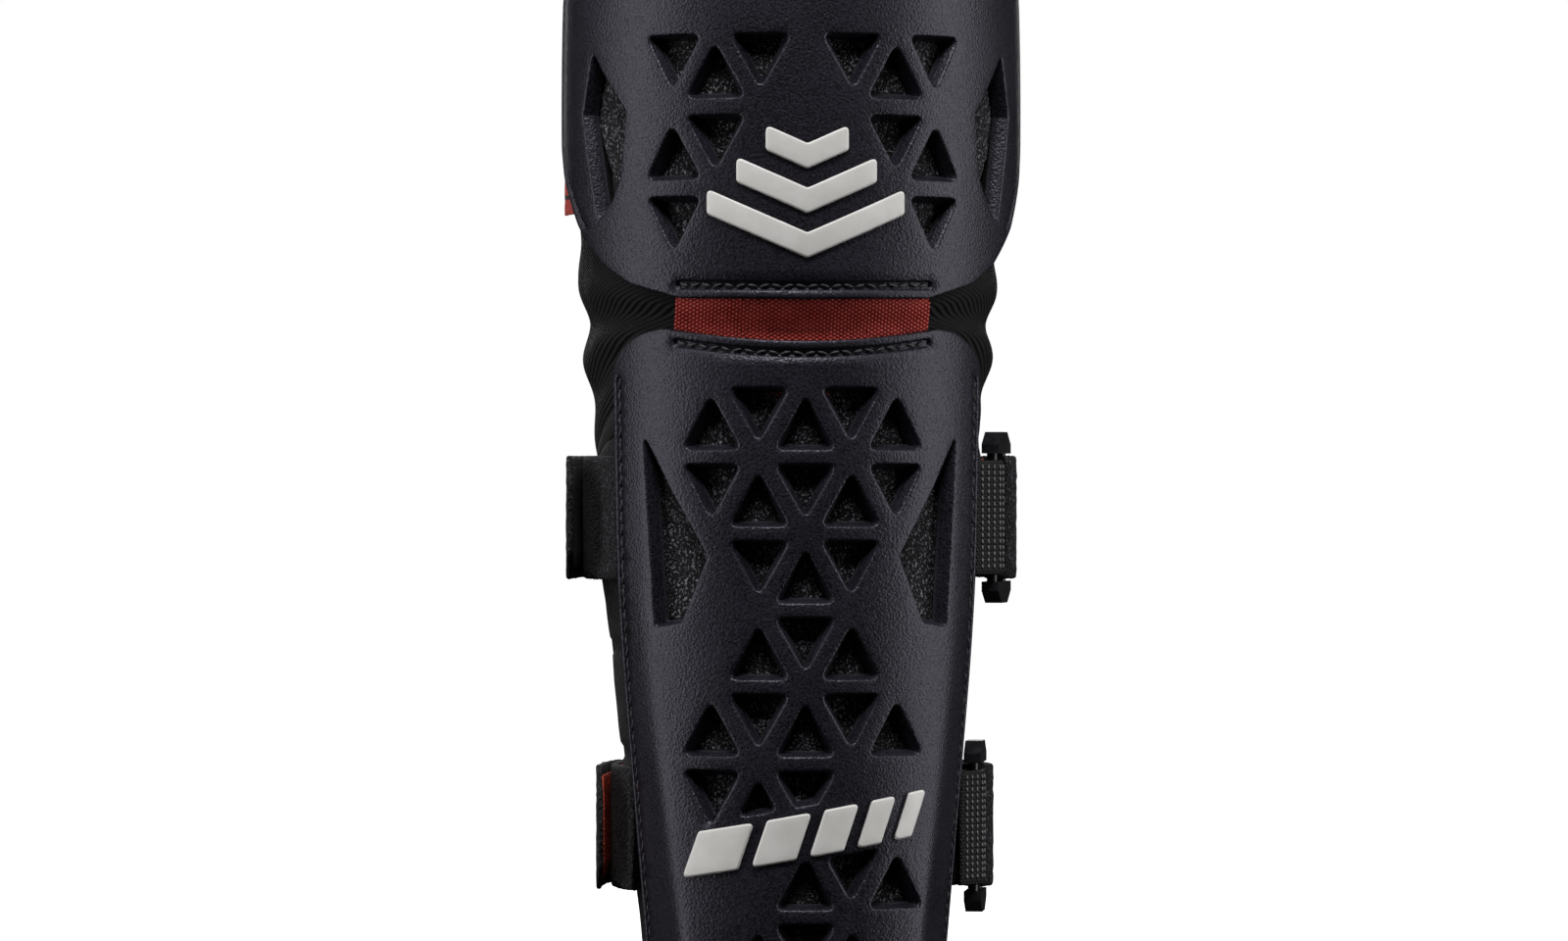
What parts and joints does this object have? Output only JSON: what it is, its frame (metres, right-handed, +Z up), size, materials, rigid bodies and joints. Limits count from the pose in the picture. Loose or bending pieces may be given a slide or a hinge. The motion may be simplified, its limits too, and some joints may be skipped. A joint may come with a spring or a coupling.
{
  "type": "knee and shin guard",
  "caption": "Hard-shell knee cup and vented shin plate joined by a short red webbing link, on padded fabric liners with three hook-and-loop straps and plastic loops.",
  "frame": {"origin": "on the leg's centre line, level with the fold line of the webbing link between the knee cup and the shin plate", "axes": "+Z up the leg towards the thigh, -Y the way the guard faces, +X to the right as seen from in front"},
  "size_m": [0.1602, 0.1639, 0.4747],
  "materials": {
    "shell_plastic": "fine leather-grained, satin",
    "badge_white": "satin, soft edges",
    "pad_fabric": "brushed loop knit over foam",
    "liner_knit": "knitted, melange",
    "binding_tape": "woven elastic tape",
    "stretch_ribbing": "shirred elastic ribs",
    "red_webbing": "flat woven webbing",
    "label_weave": "fine woven label",
    "strap_pile": "brushed loop pile",
    "strap_lining": "smooth knit",
    "tab_webbing": "ribbed webbing with stitch rows",
    "loop_plastic": "satin moulded",
    "hook_tape": "moulded hook tape"
  },
  "bodies": {
    "shin": {"shin_shell": "shell_plastic", "shin_badge": "badge_white", "shin_pad": "pad_fabric", "shin_liner": "liner_knit", "shin_binding": "binding_tape", "link_webbing": "red_webbing", "left_gusset": "stretch_ribbing", "right_gusset": "stretch_ribbing", "upper_strap": "strap_pile", "upper_lining": "strap_lining", "upper_loop_tab": "tab_webbing", "lower_strap": "strap_pile", "lower_lining": "strap_lining", "lower_loop_tab": "tab_webbing"},
    "knee": {"knee_shell": "shell_plastic", "knee_badge": "badge_white", "knee_pad": "pad_fabric", "knee_liner": "liner_knit", "knee_binding": "binding_tape", "side_label": "label_weave", "thigh_strap": "strap_pile", "thigh_lining": "strap_lining", "thigh_loop_tab": "tab_webbing"},
    "thigh_loop": {"thigh_loop": "loop_plastic"},
    "thigh_tail": {"thigh_tail": "strap_pile", "thigh_hook": "hook_tape"},
    "upper_loop": {"upper_loop": "loop_plastic"},
    "upper_tail": {"upper_tail": "strap_pile", "upper_hook": "hook_tape"},
    "lower_loop": {"lower_loop": "loop_plastic"},
    "lower_tail": {"lower_tail": "strap_pile", "lower_hook": "hook_tape"}
  },
  "joints": [
    {"name": "knee_flex", "type": "hinge", "parent": "shin", "child": "knee", "pos_m": [0, -0.071, 0], "axis": [-1, 0, 0], "range_deg": [0, 45], "deforming": ["link_webbing", "left_gusset", "right_gusset"]},
    {"name": "thigh_loop_swing", "type": "hinge", "parent": "knee", "child": "thigh_loop", "pos_m": [0.07038, -0.02632, 0.172], "axis": [0, 0, 1], "range_deg": [-5, 5]},
    {"name": "thigh_tail_peel", "type": "hinge", "parent": "knee", "child": "thigh_tail", "pos_m": [-0.06729, 0.04685, 0.172], "axis": [0, 0, -1], "range_deg": [0, 80]},
    {"name": "upper_loop_swing", "type": "hinge", "parent": "shin", "child": "upper_loop", "pos_m": [0.06434, -0.02331, -0.063], "axis": [0, 0, 1], "range_deg": [-5, 5]},
    {"name": "upper_tail_peel", "type": "hinge", "parent": "shin", "child": "upper_tail", "pos_m": [-0.06002, 0.03865, -0.063], "axis": [0, 0, -1], "range_deg": [0, 80]},
    {"name": "lower_loop_swing", "type": "hinge", "parent": "shin", "child": "lower_loop", "pos_m": [0.0582, -0.02291, -0.163], "axis": [0, 0, 1], "range_deg": [-5, 5]},
    {"name": "lower_tail_peel", "type": "hinge", "parent": "shin", "child": "lower_tail", "pos_m": [-0.05248, 0.0263, -0.163], "axis": [0, 0, -1], "range_deg": [0, 80]}
  ]
}
